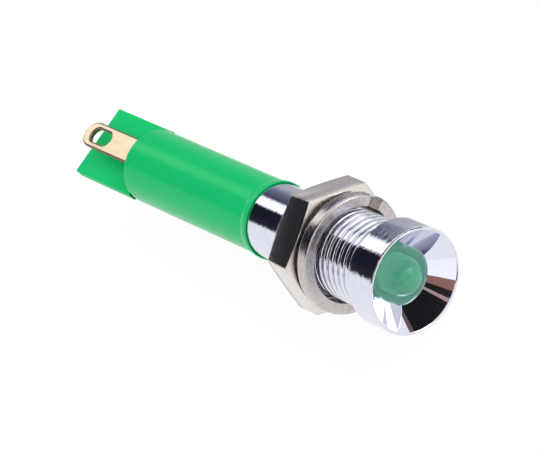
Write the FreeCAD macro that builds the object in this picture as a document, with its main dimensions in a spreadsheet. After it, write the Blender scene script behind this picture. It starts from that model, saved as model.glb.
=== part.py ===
"""A panel pilot light: a green lamp in a chromed recessed bezel, for an 8 mm panel hole.

The frame: the axis of the lamp lies along Y, its origin is on the panel seat, the front faces -Y,
and the flat sides of the two solder tabs face +Z and -Z. Sizes are in millimetres and degrees.
"""

import FreeCAD, Part
import math
import os

import Sketcher
from FreeCAD import Placement, Rotation, Vector

SIZES = [
    ("head_diameter", 9.35),
    ("head_length", 3.1),
    ("rim_width", 0.28),
    ("rim_bevel", 0.1),
    ("seat_chamfer", 0.1),
    ("reflector_depth", 3.0),
    ("thread_diameter", 7.86),
    ("thread_length", 11.3),
    ("thread_end_chamfer", 0.35),
    ("collar_diameter", 6.7),
    ("collar_length", 4.5),
    ("spigot_diameter", 5.6),
    ("spigot_length", 4.0),
    ("barrel_bore", 4.8),
    ("lamp_seat_depth", 1.1),
    ("lamp_diameter", 3.44),
    ("lamp_setback", 0.18),
    ("lamp_flange_diameter", 3.9),
    ("lamp_flange_length", 0.8),
    ("lead_thickness", 0.5),
    ("lead_embed", 1.2),
    ("lead_length", 4.8),
    ("holder_length", 3.0),
    ("fit_gap", 0.03),
    ("sleeve_wall", 0.25),
    ("diode_diameter", 1.8),
    ("diode_length", 3.9),
    ("diode_gap", 2.8),
    ("resistor_diameter", 2.3),
    ("resistor_waist", 2.0),
    ("resistor_cap_length", 1.3),
    ("resistor_length", 6.2),
    ("resistor_gap", 0.3),
    ("housing_diameter", 6.74),
    ("housing_length", 18.45),
    ("housing_wall", 0.5),
    ("lip_diameter", 7.04),
    ("lip_length", 0.9),
    ("lip_overlap", 0.35),
    ("rear_wall", 3.2),
    ("partition_thickness", 0.9),
    ("partition_width", 6.92),
    ("partition_length", 8.45),
    ("tab_width", 2.5),
    ("tab_thickness", 0.5),
    ("tab_offset", 1.6),
    ("tab_length", 8.85),
    ("tab_root", 2.6),
    ("tab_hole_width", 1.4),
    ("tab_hole_length", 2.8),
    ("tab_hole_from_tip", 2.4),
    ("nut_across_flats", 10.35),
    ("nut_thickness", 2.85),
    ("nut_station", 6.65),
    ("nut_chamfer", 0.22),
    ("nut_face_diameter", 10.2),
    ("nut_turn", 19.5),
    ("nut_bore_gap", 0.05),
    ("nut_countersink", 0.3),
    ("washer_outer_diameter", 10.6),
    ("washer_inner_diameter", 8.5),
    ("washer_thickness", 1.2),
    ("washer_spring", 0.65),
    ("washer_gap_angle", 23.0),
    ("washer_turn", 17.0),
    ("washer_edge_break", 0.12),
]

# Stations along Y start with y_ and radii with r_. Every other place is worked out here, once.
PLACES = [
    ("y_rim", "-Sizes.head_length"),
    ("y_rim_bevel", "Places.y_rim + Sizes.rim_bevel"),
    ("y_reflector", "Places.y_rim + Sizes.reflector_depth"),
    ("y_seat_chamfer", "-Sizes.seat_chamfer"),
    ("y_thread_chamfer", "Sizes.thread_length - Sizes.thread_end_chamfer"),
    ("y_thread", "Sizes.thread_length"),
    ("y_housing", "Places.y_thread + Sizes.collar_length"),
    ("y_collar", "Places.y_housing + Sizes.lip_overlap"),
    ("y_spigot", "Places.y_housing + Sizes.spigot_length"),
    ("r_head", "Sizes.head_diameter / 2"),
    ("r_rim_bevel", "Places.r_head - Sizes.rim_bevel"),
    ("r_rim", "Places.r_head - Sizes.rim_width"),
    ("r_seat", "Places.r_head - Sizes.seat_chamfer"),
    ("r_thread", "Sizes.thread_diameter / 2"),
    ("r_thread_chamfer", "Places.r_thread - Sizes.thread_end_chamfer"),
    ("r_collar", "Sizes.collar_diameter / 2"),
    ("r_spigot", "Sizes.spigot_diameter / 2"),
    ("r_bore", "Sizes.barrel_bore / 2"),
    ("r_lamp", "Sizes.lamp_diameter / 2"),
    ("r_lamp_hole", "Places.r_lamp + Sizes.fit_gap"),
    ("y_lamp_tip", "Places.y_rim + Sizes.lamp_setback"),
    ("y_lamp_dome", "Places.y_lamp_tip + Places.r_lamp"),
    ("y_lamp_seat", "Sizes.lamp_seat_depth"),
    ("y_lamp_back", "Places.y_lamp_seat + Sizes.lamp_flange_length"),
    ("r_lamp_flange", "Sizes.lamp_flange_diameter / 2"),
    ("y_lead_front", "Places.y_lamp_back - Sizes.lead_embed"),
    ("y_lead_end", "Places.y_lamp_back + Sizes.lead_length"),
    ("y_holder", "Places.y_lamp_back + Sizes.holder_length"),
    ("r_inside_bore", "Places.r_bore - Sizes.fit_gap"),
    ("r_sleeve", "Places.r_inside_bore - Sizes.sleeve_wall"),
    ("z_tab", "Sizes.tab_offset - Sizes.tab_thickness / 2"),
    ("z_tab_top", "Sizes.tab_offset + Sizes.tab_thickness / 2"),
    ("z_slot", "Places.z_tab - Sizes.fit_gap"),
    ("z_slot_top", "Places.z_tab_top + Sizes.fit_gap"),
    ("z_wire", "Places.z_tab - Sizes.lead_thickness / 2"),
    ("x_lead", "Sizes.lead_thickness / 2"),
    ("z_lead", "Places.z_wire - Places.x_lead"),
    ("z_lead_top", "Places.z_wire + Places.x_lead"),
    ("x_lead_hole", "Places.x_lead + Sizes.fit_gap"),
    ("z_lead_hole", "Places.z_lead - Sizes.fit_gap"),
    ("z_lead_hole_top", "Places.z_lead_top + Sizes.fit_gap"),
    ("r_resistor", "Sizes.resistor_diameter / 2"),
    ("r_resistor_waist", "Sizes.resistor_waist / 2"),
    ("y_diode", "Places.y_lead_end + Sizes.diode_gap"),
    ("y_diode_back", "Places.y_diode + Sizes.diode_length"),
    ("y_resistor", "Places.y_spigot + Sizes.resistor_gap"),
    ("y_resistor_back", "Places.y_resistor + Sizes.resistor_length"),
    ("y_resistor_cap", "Places.y_resistor + Sizes.resistor_cap_length"),
    ("y_resistor_cap_back", "Places.y_resistor_back - Sizes.resistor_cap_length"),
    ("r_housing", "Sizes.housing_diameter / 2"),
    ("r_housing_bore", "Places.r_housing - Sizes.housing_wall"),
    ("r_lip", "Sizes.lip_diameter / 2"),
    ("r_lip_bore", "Places.r_collar + Sizes.fit_gap"),
    ("y_lip", "Places.y_housing + Sizes.lip_length"),
    ("y_socket", "Places.y_collar + Sizes.fit_gap"),
    ("y_socket_end", "Places.y_spigot + Sizes.fit_gap"),
    ("r_socket", "Places.r_spigot + Sizes.fit_gap"),
    ("y_housing_back", "Places.y_housing + Sizes.housing_length"),
    ("y_rear_wall", "Places.y_housing_back - Sizes.rear_wall"),
    ("y_partition", "Places.y_housing_back + Sizes.partition_length"),
    ("y_tab_root", "Places.y_rear_wall - Sizes.tab_root"),
    ("y_tab_tip", "Places.y_housing_back + Sizes.tab_length"),
    ("x_tab", "Sizes.tab_width / 2"),
    ("x_slot", "Places.x_tab + Sizes.fit_gap"),
    ("y_tab_round", "Places.y_tab_tip - Places.x_tab"),
    ("x_tab_hole", "Sizes.tab_hole_width / 2"),
    ("y_tab_hole", "Places.y_tab_tip - Sizes.tab_hole_from_tip - Sizes.tab_hole_length / 2 + Places.x_tab_hole"),
    ("y_tab_hole_back", "Places.y_tab_hole + Sizes.tab_hole_length - Sizes.tab_hole_width"),
    ("z_partition", "Sizes.partition_thickness / 2"),
    ("x_partition", "Sizes.partition_width / 2"),
    ("y_wire_end", "Places.y_tab_root + Sizes.tab_root / 2"),
    ("y_nut_back", "Sizes.nut_station + Sizes.nut_thickness"),
    ("r_nut_flat", "Sizes.nut_across_flats / 2"),
    ("x_nut_corner", "Sizes.nut_across_flats / sqrt(3)"),
    ("x_nut_side", "Places.x_nut_corner / 2"),
    ("r_nut_face", "Sizes.nut_face_diameter / 2"),
    ("r_nut_clear", "Places.x_nut_corner + Sizes.nut_chamfer"),
    ("y_nut_chamfer", "Sizes.nut_station + Sizes.nut_chamfer * (Places.r_nut_clear - Places.r_nut_face)"
     " / (Places.x_nut_corner - Places.r_nut_face)"),
    ("y_nut_chamfer_back", "Sizes.nut_station + Places.y_nut_back - Places.y_nut_chamfer"),
    ("r_nut_bore", "Places.r_thread + Sizes.nut_bore_gap"),
    ("r_nut_countersink", "Places.r_nut_bore + Sizes.nut_countersink"),
    ("y_nut_countersink", "Sizes.nut_station + Sizes.nut_countersink"),
    ("y_nut_countersink_back", "Places.y_nut_back - Sizes.nut_countersink"),
    ("r_washer", "Sizes.washer_outer_diameter / 2"),
    ("r_washer_bore", "Sizes.washer_inner_diameter / 2"),
    ("r_washer_edge", "Places.r_washer - Sizes.washer_edge_break"),
    ("r_washer_bore_edge", "Places.r_washer_bore + Sizes.washer_edge_break"),
    ("y_washer", "Sizes.nut_station - Sizes.washer_spring - Sizes.washer_thickness - Sizes.fit_gap"),
    ("y_washer_edge", "Places.y_washer + Sizes.washer_edge_break"),
    ("y_washer_back", "Places.y_washer + Sizes.washer_thickness"),
    ("y_washer_back_edge", "Places.y_washer_back - Sizes.washer_edge_break"),
]

FULL_TURN = 360
QUARTER_TURN = 90
TURN_ABOUT_Y = Rotation(Vector(0, 1, 0), 1)
AXIS_ACROSS = Rotation(Vector(1, 0, 0), -90)  # turns a primitive's own Z to the lamp's axis, +Y

doc = FreeCAD.newDocument("panel_pilot_light")
sub_parts = []


def make_sizes():
    sheet = doc.addObject("Spreadsheet::Sheet", "Sizes")
    for row, (alias, value) in enumerate(SIZES, start=1):
        sheet.set(f"A{row}", alias.replace("_", " "))
        sheet.set(f"B{row}", str(value))
        sheet.setAlias(f"B{row}", alias)
    doc.recompute()
    return sheet


def make_places():
    places = doc.addObject("App::VarSet", "Places")
    for name, _ in PLACES:
        places.addProperty("App::PropertyFloat", name, "Places")
    for name, rule in PLACES:
        places.setExpression(name, rule)
    doc.recompute()
    return places


sizes = make_sizes()
places = make_places()


def new_body(label):
    body = doc.addObject("PartDesign::Body", label)
    body.Label = label
    sub_parts.append(body)
    return body


def new_sketch(body, role, name):
    plane = next(f for f in body.Origin.OriginFeatures if f.Role == role)
    sketch = body.newObject("Sketcher::SketchObject", name)
    sketch.AttachmentSupport = [(plane, "")]
    sketch.MapMode = "FlatFace"
    return sketch


def value_of(rule):
    """The present value of the name of a place or a size, with an optional minus sign, or of zero."""
    if rule == "0":
        return 0.0
    sign = -1.0 if rule.startswith("-") else 1.0
    holder, name = rule.lstrip("-").split(".")
    return sign * float(getattr({"Sizes": sizes, "Places": places}[holder], name))


def hold(sketch, kind, piece, end, rule):
    index = sketch.addConstraint(Sketcher.Constraint(kind, -1, 1, piece, end, value_of(rule)))
    if rule != "0":
        sketch.setExpression(f"Constraints[{index}]", rule)


def arc_between(start, end, centre):
    """The arc that runs anticlockwise round its centre."""
    turn = [math.atan2(point.y - centre.y, point.x - centre.x) for point in (start, end)]
    if turn[1] <= turn[0]:
        turn[1] += 2 * math.pi
    return Part.ArcOfCircle(Part.Circle(centre, Vector(0, 0, 1), (start - centre).Length), *turn)


def outline(sketch, corners, arcs=()):
    """A closed outline, anticlockwise. Each corner is a pair of rules. The piece that leaves a corner
    is straight, or is an arc if arcs holds that corner's number and the rules of the arc's centre.
    """
    first = sketch.GeometryCount
    count = len(corners)
    centres = dict(arcs)
    points = [Vector(value_of(across), value_of(up), 0) for across, up in corners]
    for k in range(count):
        start, end = points[k], points[(k + 1) % count]
        if k in centres:
            centre = Vector(value_of(centres[k][0]), value_of(centres[k][1]), 0)
            sketch.addGeometry(arc_between(start, end, centre), False)
        else:
            sketch.addGeometry(Part.LineSegment(start, end), False)
    for k in range(count):
        sketch.addConstraint(Sketcher.Constraint("Coincident", first + k, 2, first + (k + 1) % count, 1))
    for k, (across, up) in enumerate(corners):
        hold(sketch, "DistanceX", first + k, 1, across)
        hold(sketch, "DistanceY", first + k, 1, up)
    for k, (across, up) in centres.items():
        if across == "0":
            hold(sketch, "DistanceY", first + k, 3, up)
        else:
            hold(sketch, "DistanceX", first + k, 3, across)


def turned(body, kind, name, corners, arcs=()):
    """A turned form or a turned cut: stations along Y and radii along Z, swung once round Y."""
    sketch = new_sketch(body, "YZ_Plane", name + "_outline")
    outline(sketch, corners, arcs)
    turn = body.newObject("PartDesign::" + kind, name)
    turn.Profile = sketch
    turn.ReferenceAxis = (sketch, ["H_Axis"])
    turn.Angle = FULL_TURN
    body.Tip = turn
    return turn


def cross_sketch(body, name, station):
    """A sketch square to the lamp's axis, with its sides along X and Z."""
    sketch = new_sketch(body, "XZ_Plane", name)
    sketch.setExpression("AttachmentOffset.Base.z", "-" + station)
    return sketch


def grown(body, sketch, name, length):
    """Grows a cross section towards the rear."""
    pad = body.newObject("PartDesign::Pad", name)
    pad.Profile = sketch
    pad.Reversed = True
    pad.setExpression("Length", length)
    body.Tip = pad
    return pad


def sunk(body, sketch, name, length):
    """Sinks a cross section towards the rear."""
    pocket = body.newObject("PartDesign::Pocket", name)
    pocket.Profile = sketch
    pocket.setExpression("Length", length)
    body.Tip = pocket
    return pocket


def mirrored_boxes(sketch, half_width, low, high):
    """Two rectangles across X, above and below the lamp's axis."""
    outline(sketch, rules(
        ("-" + half_width, low), (half_width, low), (half_width, high), ("-" + half_width, high),
    ))
    outline(sketch, rules(
        ("-" + half_width, "-" + high), (half_width, "-" + high),
        (half_width, "-" + low), ("-" + half_width, "-" + low),
    ))


def rules(*pairs):
    """Short names to rules: y_ and r_ names are places, and others are sizes."""
    def full(name):
        sign = "-" if name.startswith("-") else ""
        bare = name.lstrip("-")
        if bare == "0":
            return "0"
        return sign + ("Places." if bare[:2] in ("y_", "r_", "z_", "x_") else "Sizes.") + bare
    return [(full(a), full(b)) for a, b in pairs]


def rod(label, radius, start, end, height):
    """A round wire or rod along Y, from one station to another, at a height above the axis."""
    wire = doc.addObject("Part::Cylinder", label)
    wire.Placement = Placement(Vector(0, 0, 0), AXIS_ACROSS)
    wire.setExpression("Radius", radius)
    wire.setExpression("Height", f"{end} - ({start})")
    wire.setExpression("Placement.Base.y", start)
    wire.setExpression("Placement.Base.z", height)
    return wire


def square_wire(label, start, end, height):
    """A square wire along Y, as the legs of a moulded lamp are."""
    wire = doc.addObject("Part::Box", label)
    wire.setExpression("Length", "Sizes.lead_thickness")
    wire.setExpression("Width", f"{end} - ({start})")
    wire.setExpression("Height", "Sizes.lead_thickness")
    wire.setExpression("Placement.Base.x", "-Places.x_lead")
    wire.setExpression("Placement.Base.y", start)
    wire.setExpression("Placement.Base.z", f"{height} - Places.x_lead")
    return wire


def compound(label, members):
    group = doc.addObject("Part::Compound", label)
    group.Links = members
    group.Label = label
    sub_parts.append(group)
    return group


def make_bezel_barrel():
    """One turned and chromed piece: head, conical reflector, threaded barrel, collar and spigot."""
    body = new_body("bezel_barrel")
    turned(body, "Revolution", "barrel", rules(
        ("y_rim", "r_rim"), ("y_reflector", "r_lamp_hole"), ("y_lamp_seat", "r_lamp_hole"),
        ("y_lamp_seat", "r_bore"), ("y_spigot", "r_bore"), ("y_spigot", "r_spigot"),
        ("y_collar", "r_spigot"), ("y_collar", "r_collar"), ("y_thread", "r_collar"),
        ("y_thread", "r_thread_chamfer"), ("y_thread_chamfer", "r_thread"),
        ("0", "r_thread"), ("0", "r_seat"), ("y_seat_chamfer", "r_head"),
        ("y_rim_bevel", "r_head"), ("y_rim", "r_rim_bevel"),
    ))


def make_lamp():
    """A moulded lamp with a domed tip, whose flange rests on the step inside the barrel."""
    body = new_body("lamp_lens")
    turned(body, "Revolution", "lens", rules(
        ("y_lamp_dome", "r_lamp"), ("y_lamp_tip", "0"), ("y_lamp_back", "0"),
        ("y_lamp_back", "r_lamp_flange"), ("y_lamp_seat", "r_lamp_flange"), ("y_lamp_seat", "r_lamp"),
    ), [(0, rules(("y_lamp_dome", "0"))[0])])
    roots = cross_sketch(body, "lead_roots_outline", "Places.y_lead_front")
    mirrored_boxes(roots, "x_lead", "z_lead", "z_lead_top")
    sunk(body, roots, "lead_roots", "Sizes.lead_embed")
    for label, height in (("lamp_anode_lead", "Places.z_wire"), ("lamp_cathode_lead", "-Places.z_wire")):
        sub_parts.append(square_wire(label, "Places.y_lead_front", "Places.y_lead_end", height))


def make_lamp_holder():
    """A bush behind the lamp that keeps it on its seat and keeps its two leads apart."""
    body = new_body("lamp_holder")
    turned(body, "Revolution", "bush", rules(
        ("y_lamp_back", "0"), ("y_holder", "0"), ("y_holder", "r_inside_bore"),
        ("y_lamp_back", "r_inside_bore"),
    ))
    holes = cross_sketch(body, "lead_holes_outline", "Places.y_lamp_back")
    mirrored_boxes(holes, "x_lead_hole", "z_lead_hole", "z_lead_hole_top")
    sunk(body, holes, "lead_holes", "Sizes.holder_length")


def make_insulating_sleeve():
    """A thin tube that lines the metal bore round the diode and the wires."""
    body = new_body("insulating_sleeve")
    turned(body, "Revolution", "sleeve", rules(
        ("y_holder", "r_sleeve"), ("y_spigot", "r_sleeve"), ("y_spigot", "r_inside_bore"),
        ("y_holder", "r_inside_bore"),
    ))


def make_diode():
    """A blocking diode on the lower wire."""
    below = "-Places.z_wire"
    sub_parts.append(rod("diode_body", "Sizes.diode_diameter / 2", "Places.y_diode",
                         "Places.y_diode_back", below))
    compound("diode_leads", [
        rod("diode_front_lead", "Places.x_lead", "Places.y_lead_end", "Places.y_diode", below),
        rod("diode_rear_lead", "Places.x_lead", "Places.y_diode_back", "Places.y_wire_end", below),
    ])


def make_resistor():
    """A dropping resistor on the upper wire, with a cap at each end of a narrower waist."""
    above = "Places.z_wire"
    body = new_body("resistor_body")
    turned(body, "Revolution", "resistor", rules(
        ("y_resistor", "0"), ("y_resistor_back", "0"), ("y_resistor_back", "r_resistor"),
        ("y_resistor_cap_back", "r_resistor"), ("y_resistor_cap_back", "r_resistor_waist"),
        ("y_resistor_cap", "r_resistor_waist"), ("y_resistor_cap", "r_resistor"),
        ("y_resistor", "r_resistor"),
    ))
    body.setExpression("Placement.Base.z", above)
    compound("resistor_leads", [
        rod("resistor_front_lead", "Places.x_lead", "Places.y_lead_end", "Places.y_resistor", above),
        rod("resistor_rear_lead", "Places.x_lead", "Places.y_resistor_back", "Places.y_wire_end", above),
    ])


def make_tab(label, foot):
    """A flat solder tab with a round end and an oblong wire hole. foot is the height of its lower face."""
    body = new_body(label)
    sketch = new_sketch(body, "XY_Plane", "tab_outline")
    sketch.setExpression("AttachmentOffset.Base.z", foot)
    outline(sketch, rules(
        ("-x_tab", "y_tab_root"), ("x_tab", "y_tab_root"), ("x_tab", "y_tab_round"),
        ("-x_tab", "y_tab_round"),
    ), [(2, rules(("0", "y_tab_round"))[0])])
    outline(sketch, rules(
        ("-x_tab_hole", "y_tab_hole"), ("x_tab_hole", "y_tab_hole"),
        ("x_tab_hole", "y_tab_hole_back"), ("-x_tab_hole", "y_tab_hole_back"),
    ), [(0, rules(("0", "y_tab_hole"))[0]), (2, rules(("0", "y_tab_hole_back"))[0])])
    strip = body.newObject("PartDesign::Pad", "strip")
    strip.Profile = sketch
    strip.setExpression("Length", "Sizes.tab_thickness")
    body.Tip = strip


def make_rear_housing():
    """The moulded housing: flared lip, socket for the spigot, slotted rear wall and a partition."""
    body = new_body("rear_housing")
    turned(body, "Revolution", "housing", rules(
        ("y_housing", "r_lip_bore"), ("y_socket", "r_lip_bore"), ("y_socket", "r_socket"),
        ("y_socket_end", "r_socket"), ("y_socket_end", "r_housing_bore"),
        ("y_rear_wall", "r_housing_bore"), ("y_rear_wall", "0"), ("y_housing_back", "0"),
        ("y_housing_back", "r_housing"), ("y_lip", "r_housing"), ("y_socket", "r_lip"),
        ("y_housing", "r_lip"),
    ))
    section = cross_sketch(body, "partition_outline", "Places.y_housing_back")
    outline(section, rules(
        ("-x_partition", "-z_partition"), ("x_partition", "-z_partition"),
        ("x_partition", "z_partition"), ("-x_partition", "z_partition"),
    ))
    grown(body, section, "partition", "Sizes.partition_length")
    slots = cross_sketch(body, "tab_slots_outline", "Places.y_rear_wall")
    mirrored_boxes(slots, "x_slot", "z_slot", "z_slot_top")
    sunk(body, slots, "tab_slots", "Sizes.rear_wall")


def make_hex_nut():
    """A thin hexagon nut: corners eased on both faces, bore countersunk at both ends."""
    body = new_body("hex_nut")
    sketch = cross_sketch(body, "hexagon_outline", "Sizes.nut_station")
    outline(sketch, rules(
        ("x_nut_corner", "0"), ("x_nut_side", "r_nut_flat"), ("-x_nut_side", "r_nut_flat"),
        ("-x_nut_corner", "0"), ("-x_nut_side", "-r_nut_flat"), ("x_nut_side", "-r_nut_flat"),
    ))
    grown(body, sketch, "hexagon", "Sizes.nut_thickness")
    turned(body, "Groove", "bore", rules(
        ("nut_station", "0"), ("y_nut_back", "0"), ("y_nut_back", "r_nut_countersink"),
        ("y_nut_countersink_back", "r_nut_bore"), ("y_nut_countersink", "r_nut_bore"),
        ("nut_station", "r_nut_countersink"),
    ))
    turned(body, "Groove", "front_easing", rules(
        ("nut_station", "r_nut_face"), ("y_nut_chamfer", "r_nut_clear"), ("nut_station", "r_nut_clear"),
    ))
    turned(body, "Groove", "rear_easing", rules(
        ("y_nut_back", "r_nut_face"), ("y_nut_back", "r_nut_clear"), ("y_nut_chamfer_back", "r_nut_clear"),
    ))
    body.Placement.Rotation = TURN_ABOUT_Y
    body.setExpression("Placement.Rotation.Angle", "-Sizes.nut_turn")


def make_spring_washer():
    """A split spring washer: one left-hand helical coil of flat bar, short of a full turn."""
    body = new_body("spring_washer")
    bar = new_sketch(body, "YZ_Plane", "bar_outline")
    outline(bar, rules(
        ("y_washer_edge", "r_washer_bore"), ("y_washer_back_edge", "r_washer_bore"),
        ("y_washer_back", "r_washer_bore_edge"), ("y_washer_back", "r_washer_edge"),
        ("y_washer_back_edge", "r_washer"), ("y_washer_edge", "r_washer"),
        ("y_washer", "r_washer_edge"), ("y_washer", "r_washer_bore_edge"),
    ))
    coil = body.newObject("PartDesign::AdditiveHelix", "coil")
    coil.Profile = bar
    coil.ReferenceAxis = (bar, ["H_Axis"])
    coil.Mode = "height-turns-angle"
    coil.LeftHanded = True
    coil.setExpression("Height", "Sizes.washer_spring")
    coil.setExpression("Turns", f"1 - Sizes.washer_gap_angle / {FULL_TURN}")
    body.Tip = coil
    body.Placement.Rotation = TURN_ABOUT_Y
    body.setExpression("Placement.Rotation.Angle",
                       f"{QUARTER_TURN} - Sizes.washer_turn - Sizes.washer_gap_angle / 2")


make_bezel_barrel()
make_lamp()
make_lamp_holder()
make_insulating_sleeve()
make_diode()
make_resistor()
make_tab("upper_tab", "Places.z_tab")
make_tab("lower_tab", "-Places.z_tab_top")
make_rear_housing()
make_hex_nut()
make_spring_washer()
doc.recompute()

for item in doc.Objects:
    if {"Invalid", "Error"} & set(item.State):
        raise RuntimeError(f"{item.Label} failed: {item.State}")
for item in sub_parts:
    if item.Shape.isNull() or not item.Shape.isValid():
        raise RuntimeError(f"{item.Label} has no valid shape")

os.makedirs("parts", exist_ok=True)
for item in sub_parts:
    item.Shape.exportStep(f"parts/{item.Label}.step")
    box = item.Shape.BoundBox
    print(item.Label, len(item.Shape.Solids), round(item.Shape.Volume, 2),
          [round(v, 3) for v in (box.XMin, box.XMax, box.YMin, box.YMax, box.ZMin, box.ZMax)])
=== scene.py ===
import math

import bpy
from mathutils import Matrix, Vector


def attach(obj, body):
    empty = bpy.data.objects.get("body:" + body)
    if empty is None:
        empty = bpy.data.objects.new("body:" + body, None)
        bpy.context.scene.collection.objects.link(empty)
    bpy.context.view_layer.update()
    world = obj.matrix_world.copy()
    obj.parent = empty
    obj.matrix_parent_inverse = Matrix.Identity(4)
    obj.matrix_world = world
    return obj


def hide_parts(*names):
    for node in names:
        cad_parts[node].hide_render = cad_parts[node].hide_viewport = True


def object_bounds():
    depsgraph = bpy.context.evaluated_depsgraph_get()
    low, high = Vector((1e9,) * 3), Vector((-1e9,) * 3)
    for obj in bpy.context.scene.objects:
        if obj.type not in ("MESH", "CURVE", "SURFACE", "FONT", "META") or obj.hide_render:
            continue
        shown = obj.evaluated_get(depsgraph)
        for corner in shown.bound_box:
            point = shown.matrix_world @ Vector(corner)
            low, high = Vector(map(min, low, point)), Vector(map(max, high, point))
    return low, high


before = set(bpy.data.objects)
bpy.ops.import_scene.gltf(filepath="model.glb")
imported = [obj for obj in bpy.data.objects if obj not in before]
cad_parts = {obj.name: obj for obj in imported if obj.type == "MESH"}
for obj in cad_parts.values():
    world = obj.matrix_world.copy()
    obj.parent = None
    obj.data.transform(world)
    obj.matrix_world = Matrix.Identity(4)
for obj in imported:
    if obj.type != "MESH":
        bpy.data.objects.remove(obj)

MM = 0.001
cad_low, cad_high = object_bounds()

# Places along the lamp's axis and radii, in millimetres, as in the solids.
RIM, SEAT, THREAD_END, HOUSING_FRONT, SPIGOT_END = -3.1, 0.0, 11.3, 15.8, 19.8
REFLECTOR_END, LAMP_TIP, LAMP_SEAT, LAMP_BACK = -0.1, -2.92, 1.1, 1.9
SOCKET_STEP, LIP_END, REAR_WALL = 16.18, 16.7, 31.05
HOUSING_BACK, PARTITION_END, TAB_TIP, TAB_ROOT = 34.25, 42.7, 43.1, 28.45
R_HEAD, R_RIM, R_THREAD, R_COLLAR, R_SPIGOT, R_BORE = 4.675, 4.395, 3.93, 3.35, 2.8, 2.4
R_LAMP, R_LAMP_HOLE, R_LAMP_FLANGE, R_HOUSING, R_LIP, R_HOUSING_BORE = 1.72, 1.75, 1.95, 3.37, 3.52, 2.87
SEAT_CHAMFER, THREAD_PITCH, THREAD_DEPTH, THREAD_CROWN, GROOVE_SHADE_DEPTH = 0.1, 0.75, 0.26, 0.10, 0.22
NUT_FRONT, NUT_BACK, NUT_FLAT, NUT_TURN = 6.65, 9.5, 5.175, 19.5
NUT_FACE, NUT_CHAMFER, NUT_BORE, NUT_COUNTERSINK = 5.1, 0.22, 3.98, 0.3
WASHER_FRONT, WASHER_THICK, WASHER_RISE, WASHER_GAP, WASHER_TURN = 4.77, 1.2, 0.65, 23.0, 17.0
R_WASHER, R_WASHER_BORE = 5.3, 4.25
TAB_HALF, TAB_LOW, TAB_HIGH, PARTITION_HALF, PARTITION_SIDE = 1.25, 1.35, 1.85, 0.45, 3.46
TAB_HOLE_HALF, TAB_HOLE_LENGTH, TAB_HOLE_FROM_TIP = 0.7, 2.8, 2.4
FIT_GAP = 0.03
RECESS_DEPTH = REFLECTOR_END - RIM

# What only the dressed pieces have, in millimetres and degrees.
AXIS_RADIUS = 0.0005
ROUND_STEPS, NUT_STEPS, WASHER_STEPS = 256, 360, 240
EASE_STEPS, DOME_STEPS, TIP_STEPS, HOLE_STEPS = 6, 40, 24, 48
HELD_RUN, HELD_POINT = 0.2, 0.015
THREAD_START, THREAD_STOP, THREAD_ROW = 0.05, THREAD_END - 0.3, THREAD_PITCH / 18
THREAD_FADE, FADE_FROM_SEAT, FADE_FROM_END = 0.5, 0.15, 0.1
GROOVE_EDGE, GROOVE_SOFTNESS = 0.38, 0.36
NUT_EASE, NUT_CORNER, NUT_CORNER_DROP, NUT_SHARP, WASHER_SHARP = 0.05, 29.0, 0.03, 24, 50
PARTITION_EASE, TAB_EASE = 0.06, 0.15


# The camera of the photograph. The lamp's axis leans out of the picture plane by TILT, the picture is
# rolled by ROLL, and the tabs lean by LEAN round the axis.
TILT, ROLL, LEAN = (math.radians(a) for a in (49.21, 24.02, 14.0))
PHOTO_WIDTH, FOCAL_PX, SENSOR = 540, 4000.0, 36.0
RIM_OFFSET, RIM_DEPTH = (12.818, 0.606), 328.3

axis = Vector((0, -1, 0))
over = Vector((math.cos(LEAN), 0, math.sin(LEAN)))
side = Vector((-math.sin(LEAN), 0, math.cos(LEAN)))
level_right = math.cos(TILT) * axis - math.sin(TILT) * side
towards = math.sin(TILT) * axis + math.cos(TILT) * side
picture_right = math.cos(ROLL) * level_right + math.sin(ROLL) * over
picture_up = -math.sin(ROLL) * level_right + math.cos(ROLL) * over


def make_camera():
    data = bpy.data.cameras.new("camera")
    data.sensor_width = SENSOR
    data.lens = FOCAL_PX / PHOTO_WIDTH * SENSOR
    data.clip_start, data.clip_end = 0.01, 20
    camera = bpy.data.objects.new("camera", data)
    bpy.context.scene.collection.objects.link(camera)
    place = Vector((0, RIM, 0)) - RIM_OFFSET[0] * level_right - RIM_OFFSET[1] * over + RIM_DEPTH * towards
    turn = Matrix((picture_right, picture_up, towards)).transposed().to_4x4()
    camera.matrix_world = Matrix.Translation(place * MM) @ turn
    bpy.context.scene.camera = camera


# Materials

def new_material(name):
    material = bpy.data.materials.new(name)
    material.use_nodes = True
    tree = material.node_tree
    return material, tree, tree.nodes["Principled BSDF"]


def ramp(tree, source, stops):
    node = tree.nodes.new("ShaderNodeValToRGB")
    while len(node.color_ramp.elements) < len(stops):
        node.color_ramp.elements.new(0.5)
    for element, (position, colour) in zip(node.color_ramp.elements, stops):
        element.position = position
        element.color = (*colour, 1.0)
    tree.links.new(source, node.inputs["Fac"])
    return node.outputs["Color"]


def grey(value):
    return (value, value, value)


def place_of(tree, scale):
    """The point on the piece, with each of its three parts scaled from metres."""
    where = tree.nodes.new("ShaderNodeTexCoord")
    mapping = tree.nodes.new("ShaderNodeMapping")
    mapping.inputs["Scale"].default_value = scale
    tree.links.new(where.outputs["Object"], mapping.inputs["Vector"])
    return mapping.outputs["Vector"]


def noise(tree, scale, detail=4.0):
    node = tree.nodes.new("ShaderNodeTexNoise")
    node.inputs["Scale"].default_value = 1.0
    node.inputs["Detail"].default_value = detail
    node.inputs["Roughness"].default_value = 0.55
    tree.links.new(place_of(tree, scale), node.inputs["Vector"])
    return node.outputs["Fac"]


def bump(tree, shader, height, strength, distance):
    node = tree.nodes.new("ShaderNodeBump")
    node.inputs["Strength"].default_value = strength
    node.inputs["Distance"].default_value = distance
    tree.links.new(height, node.inputs["Height"])
    tree.links.new(node.outputs["Normal"], shader.inputs["Normal"])


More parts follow.
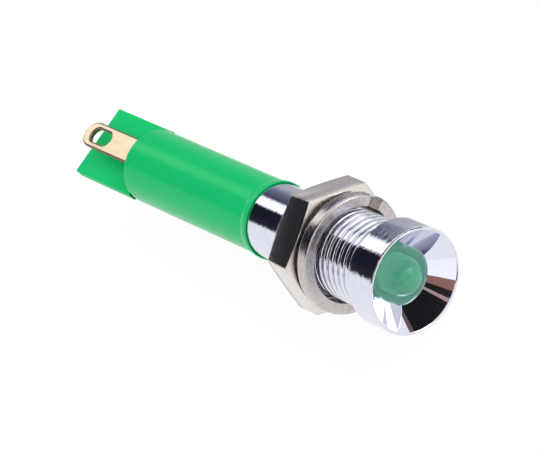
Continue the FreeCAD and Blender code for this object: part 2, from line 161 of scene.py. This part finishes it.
def metal(name, light, dark, roughness, grain, strength, distance):
    """A metal with turning or brushing marks: grain gives the marks' scale along X, Y and Z."""
    material, tree, shader = new_material(name)
    shader.inputs["Metallic"].default_value = 1.0
    marks = noise(tree, grain)
    tree.links.new(ramp(tree, marks, [(0.35, dark), (0.65, light)]), shader.inputs["Base Color"])
    low, high = roughness
    tree.links.new(ramp(tree, marks, [(0.3, grey(low)), (0.7, grey(high))]), shader.inputs["Roughness"])
    bump(tree, shader, marks, strength, distance)
    return material


def plastic(name, colour, shade, roughness, strength=0.12, gloss=0.5):
    """A moulded plastic whose colour drifts between two tones under a finely grained skin."""
    material, tree, shader = new_material(name)
    shader.inputs["Specular IOR Level"].default_value = gloss
    cloud = noise(tree, (180.0, 120.0, 180.0), detail=2.0)
    tree.links.new(ramp(tree, cloud, [(0.3, shade), (0.7, colour)]), shader.inputs["Base Color"])
    surface = noise(tree, (2500.0, 2500.0, 2500.0), detail=3.0)
    low, high = roughness
    tree.links.new(ramp(tree, surface, [(0.3, grey(low)), (0.7, grey(high))]), shader.inputs["Roughness"])
    bump(tree, shader, surface, strength, distance=0.00002)
    return material


chrome = metal("chrome", light=(0.76, 0.77, 0.86), dark=(0.71, 0.72, 0.81), roughness=(0.04, 0.09),
               grain=(1300.0, 4200.0, 1300.0), strength=0.5, distance=0.00004)
recess_chrome = metal("recess_chrome", light=(0.76, 0.77, 0.86), dark=(0.73, 0.74, 0.83),
                      roughness=(0.02, 0.05), grain=(3000.0, 3000.0, 3000.0), strength=0.10,
                      distance=0.000006)
# Painted shade: a dark metal for the thread's grooves, which stands for the shade and dark reflections deep
# in them.
groove_painted_shade = metal("groove_painted_shade", light=(0.20, 0.20, 0.24), dark=(0.14, 0.14, 0.17),
                    roughness=(0.10, 0.20), grain=(1300.0, 4200.0, 1300.0), strength=0.3,
                    distance=0.00003)
nickel = metal("nickel", light=(0.80, 0.75, 0.70), dark=(0.70, 0.66, 0.62), roughness=(0.17, 0.26),
               grain=(5200.0, 5200.0, 5200.0), strength=0.35, distance=0.00003)
washer_steel = metal("washer_steel", light=(0.62, 0.57, 0.56), dark=(0.50, 0.46, 0.46),
                     roughness=(0.18, 0.28), grain=(2600.0, 5000.0, 2600.0), strength=0.35,
                     distance=0.00003)
gold = metal("gold_plate", light=(0.96, 0.80, 0.56), dark=(0.93, 0.75, 0.50), roughness=(0.26, 0.38),
             grain=(1500.0, 500.0, 1500.0), strength=0.12, distance=0.00001)
# Painted reflection: dark brown for the tabs' rounded edges, which stands for the dark surroundings that they
# mirror.
painted_edge_reflection = metal("tab_edge_painted_reflection", light=(0.42, 0.29, 0.23), dark=(0.30, 0.19, 0.15),
                  roughness=(0.35, 0.55), grain=(700.0, 700.0, 4200.0), strength=0.35, distance=0.00002)
tin = metal("tinned_wire", light=(0.68, 0.68, 0.68), dark=(0.55, 0.55, 0.56), roughness=(0.22, 0.35),
            grain=(3000.0, 500.0, 3000.0), strength=0.2, distance=0.00001)
green = plastic("green_moulding", colour=(0.003, 0.53, 0.155), shade=(0.002, 0.51, 0.148),
                roughness=(0.20, 0.27), strength=0.05, gloss=0.20)
green_matt = plastic("green_partition", colour=(0.003, 0.59, 0.17), shade=(0.002, 0.57, 0.162),
                     roughness=(0.35, 0.45), strength=0.05, gloss=0.04)
black = plastic("black_moulding", colour=(0.02, 0.02, 0.02), shade=(0.012, 0.012, 0.012),
                roughness=(0.40, 0.55))
resistor_coat = plastic("resistor_coat", colour=(0.48, 0.34, 0.15), shade=(0.40, 0.28, 0.12),
                        roughness=(0.35, 0.5))
sleeve_film = plastic("sleeve_film", colour=(0.80, 0.82, 0.80), shade=(0.72, 0.74, 0.72),
                      roughness=(0.30, 0.42))


def lamp_material():
    """Diffused green epoxy: light scatters under its skin, and fine flecks vary its colour. A weak glow
    stands for the light that comes through it, and is stronger towards its foot.
    """
    material, tree, shader = new_material("lamp_epoxy")
    flecks = noise(tree, (1500.0, 1500.0, 1500.0), detail=2.0)
    tree.links.new(ramp(tree, flecks, [(0.3, (0.05, 0.25, 0.17)), (0.7, (0.06, 0.28, 0.19))]),
                   shader.inputs["Base Color"])
    shader.inputs["Roughness"].default_value = 0.22
    shader.inputs["IOR"].default_value = 1.5
    shader.inputs["Subsurface Weight"].default_value = 1.0
    shader.inputs["Subsurface Radius"].default_value = (0.4, 1.0, 0.6)
    shader.inputs["Subsurface Scale"].default_value = 0.0020
    where = tree.nodes.new("ShaderNodeSeparateXYZ")
    tree.links.new(place_of(tree, (1.0, 1.0, 1.0)), where.inputs["Vector"])
    along = tree.nodes.new("ShaderNodeMapRange")
    tree.links.new(where.outputs["Y"], along.inputs["Value"])
    along.inputs["From Min"].default_value = LAMP_TIP * MM
    along.inputs["From Max"].default_value = REFLECTOR_END * MM
    glow = ramp(tree, along.outputs["Result"], [(0.25, (0.05, 0.28, 0.15)), (0.75, (0.40, 1.0, 0.68))])
    tree.links.new(glow, shader.inputs["Emission Color"])
    shader.inputs["Emission Strength"].default_value = 0.22
    return material


lamp_epoxy = lamp_material()


# Meshes

def add_mesh(name, points, faces, materials, smooth=True):
    """A piece from points in millimetres."""
    mesh = bpy.data.meshes.new(name)
    mesh.from_pydata([tuple(c * MM for c in p) for p in points], [], faces)
    mesh.validate()
    piece = bpy.data.objects.new(name, mesh)
    bpy.context.scene.collection.objects.link(piece)
    for material in materials:
        mesh.materials.append(material)
    mesh.polygons.foreach_set("use_smooth", [smooth] * len(mesh.polygons))
    return piece


def eased(corners, closed=False):
    """A profile whose corners, given as (y, r, ease), are rounded. An ease of 0 keeps the corner."""
    out = []
    count = len(corners)
    for k, (y, r, ease) in enumerate(corners):
        here = Vector((y, r))
        if ease == 0 or (not closed and k in (0, count - 1)):
            out.append(here)
            continue
        before, after = (Vector(corners[(k + step) % count][:2]) for step in (-1, 1))
        into, out_of = (before - here).normalized(), (after - here).normalized()
        half = math.acos(max(-1.0, min(1.0, into.dot(out_of)))) / 2
        if half > math.radians(89.0):
            out.append(here)
            continue
        reach = min(ease / math.tan(half), 0.45 * (before - here).length, 0.45 * (after - here).length)
        radius = reach * math.tan(half)
        centre = here + (into + out_of).normalized() * (radius / math.sin(half))
        start, end = here + into * reach - centre, here + out_of * reach - centre
        turn = math.atan2(start.x * end.y - start.y * end.x, start.dot(end))
        for s in range(EASE_STEPS + 1):
            a = turn * s / EASE_STEPS
            out.append(centre + Vector((start.x * math.cos(a) - start.y * math.sin(a),
                                        start.x * math.sin(a) + start.y * math.cos(a))))
    return [(p.x, p.y) for p in out]


def on_axis(y, r, turn):
    """A point at a station, a radius and a turn from +X towards +Z."""
    return (r * math.cos(turn), y, r * math.sin(turn))


def held(profile, closed):
    """The same profile with a point close to each end of its long runs, so that the rounded corners
    beside them don't bend their shading.
    """
    out = []
    count = len(profile)
    for k, (y, r) in enumerate(profile):
        out.append((y, r))
        if k == count - 1 and not closed:
            break
        next_y, next_r = profile[(k + 1) % count]
        length = math.hypot(next_y - y, next_r - r)
        if length > HELD_RUN:
            share = HELD_POINT / length
            out.append((y + (next_y - y) * share, r + (next_r - r) * share))
            out.append((next_y - (next_y - y) * share, next_r - (next_r - r) * share))
    return out


def skin(loops, size, wrapped, closed):
    """The faces between loops of points that follow one another, all of the same size. Wrapped joins the
    last loop to the first, and closed joins each loop's last point to its first.
    """
    faces = []
    for k in range(loops if wrapped else loops - 1):
        a, b = k * size, ((k + 1) % loops) * size
        for s in range(size if closed else size - 1):
            e = (s + 1) % size
            faces.append((a + s, a + e, b + e, b + s))
    return faces


def lathe(name, profile, materials, closed=False, wobble=None):
    """A profile of (y, r) turned round the axis. A wobble gives each point its radius."""
    profile = held(profile, closed)
    points = []
    for k in range(ROUND_STEPS):
        turn = 2 * math.pi * k / ROUND_STEPS
        for y, r in profile:
            points.append(on_axis(y, r if wobble is None else wobble(y, r, turn), turn))
    faces = skin(ROUND_STEPS, len(profile), wrapped=True, closed=closed)
    return add_mesh(name, points, faces, materials)


def soft_step(x):
    x = min(1.0, max(0.0, x))
    return x * x * (3 - 2 * x)


def thread_radius(y, r, turn):
    """The right-hand thread: crowned crests with a narrow groove between them, fading out at both ends."""
    from_seat, from_end = y - FADE_FROM_SEAT, THREAD_END - FADE_FROM_END - y
    fade = soft_step(from_seat / THREAD_FADE) * soft_step(from_end / THREAD_FADE)
    phase = (y / THREAD_PITCH + turn / (2 * math.pi)) % 1.0
    valley = abs(2 * phase - 1)
    groove = soft_step((GROOVE_EDGE - valley) / GROOVE_SOFTNESS)
    return r - fade * (THREAD_DEPTH * groove + THREAD_CROWN * (1 - valley) ** 2)


def make_barrel():
    head = eased([
        (REFLECTOR_END, R_LAMP_HOLE, 0.0), (RIM + 0.06, R_RIM, 0.05), (RIM, R_RIM + 0.08, 0.04),
        (RIM, R_HEAD - 0.10, 0.08), (RIM + 0.12, R_HEAD, 0.10), (SEAT - SEAT_CHAMFER, R_HEAD, 0.06),
        (SEAT, R_HEAD - SEAT_CHAMFER, 0.04), (SEAT, R_THREAD, 0.0),
    ])
    thread_rows = int((THREAD_STOP - THREAD_START) / THREAD_ROW) + 1
    thread = [(THREAD_START + THREAD_ROW * k, R_THREAD) for k in range(thread_rows)]
    tail = eased([
        (THREAD_END - 0.28, R_THREAD, 0.0), (THREAD_END - 0.2, R_THREAD - 0.08, 0.05),
        (THREAD_END, R_THREAD - 0.35, 0.05), (THREAD_END, R_COLLAR + 0.05, 0.05),
        (THREAD_END + 0.05, R_COLLAR, 0.05),
        (SOCKET_STEP - FIT_GAP, R_COLLAR, 0.05), (SOCKET_STEP - FIT_GAP, R_SPIGOT, 0.0),
        (SPIGOT_END, R_SPIGOT, 0.05), (SPIGOT_END, R_BORE, 0.05), (LAMP_SEAT, R_BORE, 0.0),
        (LAMP_SEAT, R_LAMP_HOLE, 0.0), (REFLECTOR_END, R_LAMP_HOLE, 0.0),
    ])
    profile = head + thread + tail[:-1]
    first, last = len(head), len(head) + len(thread)
    threaded = set(profile[first:last])

    def wobble(y, r, turn):
        return thread_radius(y, r, turn) if (y, r) in threaded else r

    piece = lathe("barrel_chromed", profile, [chrome, recess_chrome, groove_painted_shade], closed=True, wobble=wobble)
    for face in piece.data.polygons:
        x, y, z = (c / MM for c in face.center)
        r = math.hypot(x, z)
        # Faces of the recess take the smoother chrome, and faces deep in the thread's grooves take the
        # painted shade.
        in_recess = y < REFLECTOR_END + 0.01 and r < R_RIM + 0.02
        gets_groove_shade = SEAT + 0.1 < y < THREAD_END - 0.4 and R_COLLAR < r < R_THREAD - GROOVE_SHADE_DEPTH
        face.material_index = 1 if in_recess else 2 if gets_groove_shade else 0
    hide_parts("bezel_barrel")
    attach(piece, "lamp")


def make_lamp():
    dome = [(LAMP_TIP + R_LAMP * (1 - math.cos(a)), R_LAMP * math.sin(a))
            for a in (math.radians(90) * k / DOME_STEPS for k in range(DOME_STEPS + 1))]
    dome[0] = (dome[0][0], AXIS_RADIUS)
    body = eased([(dome[-1][0], R_LAMP, 0.0), (LAMP_SEAT, R_LAMP, 0.0), (LAMP_SEAT, R_LAMP_FLANGE, 0.0),
                  (LAMP_BACK, R_LAMP_FLANGE, 0.05), (LAMP_BACK, AXIS_RADIUS, 0.0)])
    piece = lathe("lamp_dome", dome[:-1] + body, [lamp_epoxy])
    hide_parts("lamp_lens")
    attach(piece, "lamp")


def make_housing():
    profile = eased([
        (SOCKET_STEP, R_COLLAR + FIT_GAP, 0.0), (HOUSING_FRONT, R_COLLAR + FIT_GAP, 0.02),
        (HOUSING_FRONT, R_LIP, 0.05), (SOCKET_STEP, R_LIP, 0.15), (LIP_END, R_HOUSING, 0.5),
        (HOUSING_BACK, R_HOUSING, 0.14), (HOUSING_BACK, AXIS_RADIUS, 0.0),
    ])
    inner = eased([
        (REAR_WALL, AXIS_RADIUS, 0.0), (REAR_WALL, R_HOUSING_BORE, 0.0),
        (SPIGOT_END + FIT_GAP, R_HOUSING_BORE, 0.0), (SPIGOT_END + FIT_GAP, R_SPIGOT + FIT_GAP, 0.0),
        (SOCKET_STEP, R_SPIGOT + FIT_GAP, 0.0), (SOCKET_STEP, R_COLLAR + FIT_GAP, 0.0),
    ])
    shell = lathe("housing_shell", profile, [green])
    lining = lathe("housing_lining", inner, [green])
    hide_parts("rear_housing")
    for piece in (shell, lining):
        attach(piece, "lamp")


def make_partition():
    section = eased([
        (-PARTITION_SIDE, -PARTITION_HALF, 0.05), (PARTITION_SIDE, -PARTITION_HALF, 0.05),
        (PARTITION_SIDE, PARTITION_HALF, 0.05), (-PARTITION_SIDE, PARTITION_HALF, 0.05),
    ], closed=True)
    ease = PARTITION_EASE
    rows = [(HOUSING_BACK, 0.0), (PARTITION_END - ease, 0.0)]
    rows += [(PARTITION_END - ease + ease * math.sin(a), ease * (1 - math.cos(a)))
             for a in (math.radians(90) * k / 4 for k in range(1, 5))]
    points, faces = [], []
    count = len(section)
    for y, draw in rows:
        for x, z in section:
            points.append((x - math.copysign(draw, x), y, z - math.copysign(draw, z)))
    for row in range(len(rows) - 1):
        for k in range(count):
            n = (k + 1) % count
            faces.append((row * count + k, (row + 1) * count + k, (row + 1) * count + n, row * count + n))
    faces.append(tuple(reversed(range((len(rows) - 1) * count, len(rows) * count))))
    partition = add_mesh("housing_partition", points, faces, [green_matt])
    partition.data.polygons[-1].use_smooth = False
    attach(partition, "lamp")


def make_nut():
    bore, sunk = NUT_BORE, NUT_BORE + NUT_COUNTERSINK
    ease, slope = NUT_EASE, NUT_CHAMFER / (NUT_FLAT / math.cos(math.radians(30)) - NUT_FACE)
    points = []
    for k in range(NUT_STEPS):
        turn = 2 * math.pi * k / NUT_STEPS + math.radians(NUT_TURN)
        from_flat = abs((turn - math.radians(NUT_TURN)) % math.radians(60) - math.radians(30))
        rim = NUT_FLAT / math.cos(from_flat)
        past_corner = from_flat - math.radians(NUT_CORNER)
        if past_corner > 0:
            rim -= NUT_CORNER_DROP * past_corner / math.radians(30 - NUT_CORNER)
        drop = max(0.0, (rim - NUT_FACE) * slope)
        rows = [
            (NUT_FRONT + NUT_COUNTERSINK, bore), (NUT_FRONT + 0.02, sunk - 0.02),
            (NUT_FRONT, sunk + 0.02), (NUT_FRONT, NUT_FACE - 0.03),
            (NUT_FRONT + 0.005, NUT_FACE + 0.01), (NUT_FRONT + drop, rim - ease),
            (NUT_FRONT + drop + 0.3 * ease, rim - 0.3 * ease), (NUT_FRONT + drop + ease, rim),
            (NUT_BACK - drop - ease, rim), (NUT_BACK - drop - 0.3 * ease, rim - 0.3 * ease),
            (NUT_BACK - drop, rim - ease), (NUT_BACK - 0.005, NUT_FACE + 0.01),
            (NUT_BACK, NUT_FACE - 0.03), (NUT_BACK, sunk + 0.02),
            (NUT_BACK - 0.02, sunk - 0.02), (NUT_BACK - NUT_COUNTERSINK, bore),
        ]
        points += [on_axis(y, r, turn) for y, r in rows]
    faces = skin(NUT_STEPS, len(points) // NUT_STEPS, wrapped=True, closed=True)
    piece = add_mesh("nut_hexagon", points, faces, [nickel])
    piece.data.set_sharp_from_angle(angle=math.radians(NUT_SHARP))
    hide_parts("hex_nut")
    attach(piece, "nut")


def make_washer():
    section = eased([
        (0.0, R_WASHER_BORE, 0.10), (0.0, R_WASHER, 0.24), (WASHER_THICK, R_WASHER, 0.24),
        (WASHER_THICK, R_WASHER_BORE, 0.10),
    ], closed=True)
    section = held(section, closed=True)
    sweep = math.radians(360 - WASHER_GAP)
    start = math.radians(WASHER_TURN + WASHER_GAP / 2)
    points = []
    for k in range(WASHER_STEPS + 1):
        share = k / WASHER_STEPS
        for y, r in section:
            points.append(on_axis(WASHER_FRONT + WASHER_RISE * share + y, r, start + sweep * share))
    count = len(section)
    faces = skin(WASHER_STEPS + 1, count, wrapped=False, closed=True)
    faces.append(tuple(reversed(range(count))))
    faces.append(tuple(range(WASHER_STEPS * count, (WASHER_STEPS + 1) * count)))
    piece = add_mesh("washer_coil", points, faces, [washer_steel])
    piece.data.set_sharp_from_angle(angle=math.radians(WASHER_SHARP))
    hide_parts("spring_washer")
    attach(piece, "washer")


def tab_outline():
    """A square root and a half-round tip."""
    half, centre = TAB_HALF, TAB_TIP - TAB_HALF
    arc = [(half * math.cos(a), centre + half * math.sin(a))
           for a in (math.pi * k / TIP_STEPS for k in range(TIP_STEPS + 1))]
    return [(half, TAB_ROOT)] + arc + [(-half, TAB_ROOT)]


def hole_outline():
    """A slot along the tab with half-round ends."""
    half, centre = TAB_HOLE_HALF, TAB_TIP - TAB_HOLE_FROM_TIP
    straight = TAB_HOLE_LENGTH / 2 - half
    out = []
    for k in range(HOLE_STEPS):
        a = 2 * math.pi * k / HOLE_STEPS
        out.append((half * math.cos(a), centre + half * math.sin(a) + math.copysign(straight, math.sin(a))))
    return out


def make_tab(name, node, low, high):
    """A flat tab with rounded edges. Its flat sides are plated, and its edges carry a painted reflection:
    dark brown, which stands for the dark surroundings that they mirror.
    """
    curve = bpy.data.curves.new(name, "CURVE")
    curve.dimensions = "2D"
    curve.fill_mode = "BOTH"
    for loop in (tab_outline(), hole_outline()):
        spline = curve.splines.new("POLY")
        spline.points.add(len(loop) - 1)
        for point, (x, y) in zip(spline.points, loop):
            point.co = (x * MM, y * MM, 0, 1)
        spline.use_cyclic_u = True
    curve.extrude = (high - low) / 2 * MM - TAB_EASE * MM
    curve.bevel_depth = TAB_EASE * MM
    curve.bevel_resolution = 3
    curve.offset = -TAB_EASE * MM
    shape = bpy.data.objects.new(name + "_shape", curve)
    bpy.context.scene.collection.objects.link(shape)
    shape.location = (0, 0, (low + high) / 2 * MM)
    bpy.context.view_layer.update()
    mesh = bpy.data.meshes.new_from_object(shape.evaluated_get(bpy.context.evaluated_depsgraph_get()))
    mesh.transform(shape.matrix_world)
    bpy.data.objects.remove(shape)
    piece = bpy.data.objects.new(name, mesh)
    bpy.context.scene.collection.objects.link(piece)
    mesh.materials.clear()
    for material in (gold, painted_edge_reflection):
        mesh.materials.append(material)
    # Faces that don't lie flat take the painted edge reflection: the rounded edges and the slot's wall.
    for face in mesh.polygons:
        upright = abs(face.normal.z)
        face.material_index = 0 if upright > 0.985 else 1
        face.use_smooth = upright < 0.999
    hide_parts(node)
    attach(piece, "lamp")


def dress_inner_nodes():
    for node, material in (
        ("lamp_anode_lead", tin), ("lamp_cathode_lead", tin), ("lamp_holder", black),
        ("insulating_sleeve", sleeve_film), ("diode_body", black), ("diode_leads", tin),
        ("resistor_body", resistor_coat), ("resistor_leads", tin),
    ):
        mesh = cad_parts[node].data
        mesh.materials.clear()
        mesh.materials.append(material)


# The studio. The cards and the floor are in millimetres, and the soft box is in metres.

WORLD_LIGHT, WORLD_SEEN, PAPER_SEEN, PAPER_SEEN_SHARE = 0.95, 1.0, 1.02, 0.90
FLOOR_GAP, FLOOR_REACH = 0.02, 3000.0
FRONT_DISTANCE, FRONT_HALF_WIDTH, FRONT_TURN_STEP = 110.0, 11.0, 6
TWICE_DISTANCE, TWICE_HALF_WIDTH = 26.0, 5.5
SPOT_FACING, SPOT_DISTANCE, SPOT_HALF_WIDTH = (0.43, 0.26, 0.86), 200.0, 52.0
BOX_SIZE, BOX_POWER, BOX_DISTANCE, BOX_AIM = (0.30, 0.20), 0.35, 0.35, 15


def card(name, rows):
    """A panel that shows only in reflections, and lights nothing else. Each row is its two ends and its
    colour, and the colours blend from row to row.
    """
    material = bpy.data.materials.new(name)
    material.use_nodes = True
    tree = material.node_tree
    tree.nodes.clear()
    painted = tree.nodes.new("ShaderNodeVertexColor")
    painted.layer_name = "shade"
    glow = tree.nodes.new("ShaderNodeEmission")
    tree.links.new(painted.outputs["Color"], glow.inputs["Color"])
    out = tree.nodes.new("ShaderNodeOutputMaterial")
    tree.links.new(glow.outputs["Emission"], out.inputs["Surface"])
    points = [tuple(end) for ends, _ in rows for end in ends]
    faces = [(2 * k, 2 * k + 2, 2 * k + 3, 2 * k + 1) for k in range(len(rows) - 1)]
    piece = add_mesh(name, points, faces, [material], smooth=False)
    shade = piece.data.color_attributes.new("shade", "FLOAT_COLOR", "POINT")
    for k, (_, colour) in enumerate(rows):
        for end in (2 * k, 2 * k + 1):
            shade.data[end].color = (*colour, 1.0)
    piece.visible_camera = False
    piece.visible_diffuse = False
    piece.visible_shadow = False
    piece.visible_transmission = False


def long_card(name, stops, distance=60.0, near=20.0, far=400.0):
    """A card along the lamp's axis. Its turns are from below the lamp, round by the picture's upper side."""
    rows = []
    for turn, colour in stops:
        a = math.radians(turn)
        foot = distance * (math.sin(a) * over - math.cos(a) * side)
        rows.append(((foot + Vector((0, near, 0)), foot + Vector((0, far, 0))), colour))
    card(name, rows)


def front_card(name, stops):
    """A card in front of the conical recess. Its turns are round the recess, from the picture's right over
    the top, and each stands where the recess mirrors the camera's direction to.
    """
    def mirrored(turn):
        a = math.radians(turn)
        radial = -math.cos(a) * side + math.sin(a) * over
        normal = (-RECESS_DEPTH * radial + (R_RIM - R_LAMP_HOLE) * axis).normalized()
        return 2 * normal.dot(towards) * normal - towards

    rows = []
    for (turn, colour), (next_turn, next_colour) in zip(stops, stops[1:]):
        steps = max(1, round(abs(next_turn - turn) / FRONT_TURN_STEP))
        for s in range(steps + 1):
            share = s / steps
            at = turn + (next_turn - turn) * share
            here = mirrored(at)
            along = (mirrored(at + 1) - mirrored(at - 1)).normalized()
            out = FRONT_HALF_WIDTH * along.cross(here).normalized()
            middle = Vector((0, RIM, 0)) + FRONT_DISTANCE * here
            blend = tuple(a + (b - a) * share for a, b in zip(colour, next_colour))
            rows.append(((middle - out, middle + out), blend))
    card(name, rows)


def twice_mirrored_card(name, rows):
    """A card for the top of the recess, whose reflections meet the recess's far wall before they leave it.
    Each row is a direction, as its parts along over, side and axis, and a colour.
    """
    placed = []
    for (up, out, ahead), colour in rows:
        here = (up * over + out * side + ahead * axis).normalized()
        across = TWICE_HALF_WIDTH * here.cross(over).normalized()
        middle = Vector((0, RIM, 0)) + TWICE_DISTANCE * here
        placed.append(((middle - across, middle + across), colour))
    card(name, placed)


def kind_of_ray(tree, *kinds):
    """1 for a ray of one of the kinds, and 0 for any other."""
    path = tree.nodes.new("ShaderNodeLightPath")
    found = path.outputs[kinds[0]]
    for kind in kinds[1:]:
        either = tree.nodes.new("ShaderNodeMath")
        either.operation = "MAXIMUM"
        tree.links.new(found, either.inputs[0])
        tree.links.new(path.outputs[kind], either.inputs[1])
        found = either.outputs[0]
    return found


def mixed(tree, share, first, second):
    mix = tree.nodes.new("ShaderNodeMixShader")
    tree.links.new(share, mix.inputs["Fac"])
    tree.links.new(first, mix.inputs[1])
    tree.links.new(second, mix.inputs[2])
    return mix.outputs[0]


def make_world():
    """White light from all round, and a white background for the camera and for reflections."""
    scene = bpy.context.scene
    scene.view_settings.view_transform = "Standard"
    world = bpy.data.worlds.new("studio")
    scene.world = world
    world.use_nodes = True
    tree = world.node_tree
    light, seen = tree.nodes["Background"], tree.nodes.new("ShaderNodeBackground")
    for node, strength in ((light, WORLD_LIGHT), (seen, WORLD_SEEN)):
        node.inputs["Color"].default_value = (1, 1, 1, 1)
        node.inputs["Strength"].default_value = strength
    share = kind_of_ray(tree, "Is Camera Ray", "Is Glossy Ray", "Is Transmission Ray")
    surface = mixed(tree, share, light.outputs[0], seen.outputs[0])
    tree.links.new(surface, tree.nodes["World Output"].inputs["Surface"])


def make_floor():
    """White paper, which glows for the camera and for reflections but keeps a faint shadow."""
    material, tree, shader = new_material("floor_paper")
    shader.inputs["Base Color"].default_value = (0.92, 0.92, 0.93, 1)
    shader.inputs["Roughness"].default_value = 0.9
    glow = tree.nodes.new("ShaderNodeEmission")
    glow.inputs["Color"].default_value = (1, 1, 1, 1)
    glow.inputs["Strength"].default_value = PAPER_SEEN
    share = tree.nodes.new("ShaderNodeMath")
    share.operation = "MULTIPLY"
    share.inputs[1].default_value = PAPER_SEEN_SHARE
    tree.links.new(kind_of_ray(tree, "Is Camera Ray", "Is Glossy Ray"), share.inputs[0])
    surface = mixed(tree, share.outputs[0], shader.outputs[0], glow.outputs[0])
    tree.links.new(surface, tree.nodes["Material Output"].inputs["Surface"])
    level, reach = cad_low.z / MM - FLOOR_GAP, FLOOR_REACH
    corners = [(-reach, -reach, level), (reach, -reach, level), (reach, reach, level), (-reach, reach, level)]
    floor = add_mesh("floor", corners, [(0, 1, 2, 3)], [material], smooth=False)


def make_cards():
    """What the metal mirrors in the photograph's view."""
    long_card("dark_overhead", [(159, (0.012, 0.013, 0.022)), (190, (0.014, 0.015, 0.024)),
                                (214, (0.03, 0.03, 0.042))], near=-30.0)
    long_card("bright_strip", [(131, (1.3, 1.3, 1.35)), (159, (1.5, 1.5, 1.5))])
    long_card("grey_side", [(71, (0.60, 0.60, 0.64)), (77, (0.52, 0.52, 0.57)), (84, (0.32, 0.33, 0.40)),
                            (100, (0.17, 0.18, 0.25)), (131, (0.045, 0.05, 0.09))], near=50.0)
    long_card("grey_low_side", [(45, (0.66, 0.66, 0.71)), (60, (0.50, 0.50, 0.55)), (93, (0.48, 0.48, 0.53))],
              distance=10.0, near=4.0, far=70.0)
    twice_mirrored_card("recess_top", [
        ((-0.34, 0.29, 0.90), (0.02, 0.02, 0.03)), ((-0.46, 0.29, 0.84), (0.04, 0.04, 0.055)),
        ((-0.55, 0.28, 0.79), (0.34, 0.34, 0.42)), ((-0.72, 0.18, 0.67), (0.52, 0.52, 0.62)),
        ((-0.82, 0.05, 0.57), (0.70, 0.70, 0.80)),
    ])
    front_card("recess_white", [(62, (1.1, 1.1, 1.15)), (20, (1.2, 1.2, 1.25))])
    front_card("recess_brown", [(20, (0.34, 0.17, 0.13)), (7, (0.30, 0.15, 0.12))])
    front_card("recess_dark", [(7, (0.015, 0.013, 0.014)), (-2, (0.02, 0.016, 0.016))])
    front_card("recess_pink", [(-2, (0.52, 0.36, 0.34)), (-6.5, (0.45, 0.30, 0.28))])
    front_card("recess_black", [(-6.5, (0.012, 0.011, 0.012)), (-61, (0.014, 0.013, 0.014))])
    front_card("recess_low_brown", [(-61, (0.14, 0.10, 0.10)), (-70, (0.20, 0.15, 0.15))])
    front_card("recess_low_dark", [(-70, (0.02, 0.02, 0.022)), (-84, (0.03, 0.03, 0.034))])
    front_card("recess_low_white", [(-84, (0.95, 0.98, 1.1)), (-132, (1.0, 1.0, 1.1))])

    # The lamp's dome mirrors this one where it faces SPOT_FACING: right, up and towards the camera.
    right, up, ahead = SPOT_FACING
    facing = (right * picture_right + up * picture_up + ahead * towards).normalized()
    away = 2 * facing.dot(towards) * facing - towards
    across = away.cross(picture_up).normalized()
    corners = [[SPOT_DISTANCE * away + SPOT_HALF_WIDTH * (a * across + b * picture_up) for a in (-1, 1)]
               for b in (-1, 1)]
    card("lamp_highlight", [(ends, (3.2, 3.2, 3.4)) for ends in corners])


def make_light():
    """A soft box above the camera, which metal doesn't mirror."""
    light = bpy.data.lights.new("soft_box", "AREA")
    light.shape = "RECTANGLE"
    light.size, light.size_y = BOX_SIZE
    light.energy = BOX_POWER
    box = bpy.data.objects.new("soft_box", light)
    bpy.context.scene.collection.objects.link(box)
    direction = (towards + 0.8 * over + 0.2 * level_right).normalized()
    place = Vector((0, BOX_AIM, 0)) * MM + direction * BOX_DISTANCE
    box.matrix_world = Matrix.Translation(place) @ direction.to_track_quat("Z", "Y").to_matrix().to_4x4()
    box.visible_glossy = False


make_camera()
make_barrel()
make_lamp()
make_housing()
make_partition()
make_nut()
make_washer()
make_tab("upper_tab_gold", "upper_tab", TAB_LOW, TAB_HIGH)
make_tab("lower_tab_gold", "lower_tab", -TAB_HIGH, -TAB_LOW)
dress_inner_nodes()
make_world()
make_floor()
make_cards()
make_light()
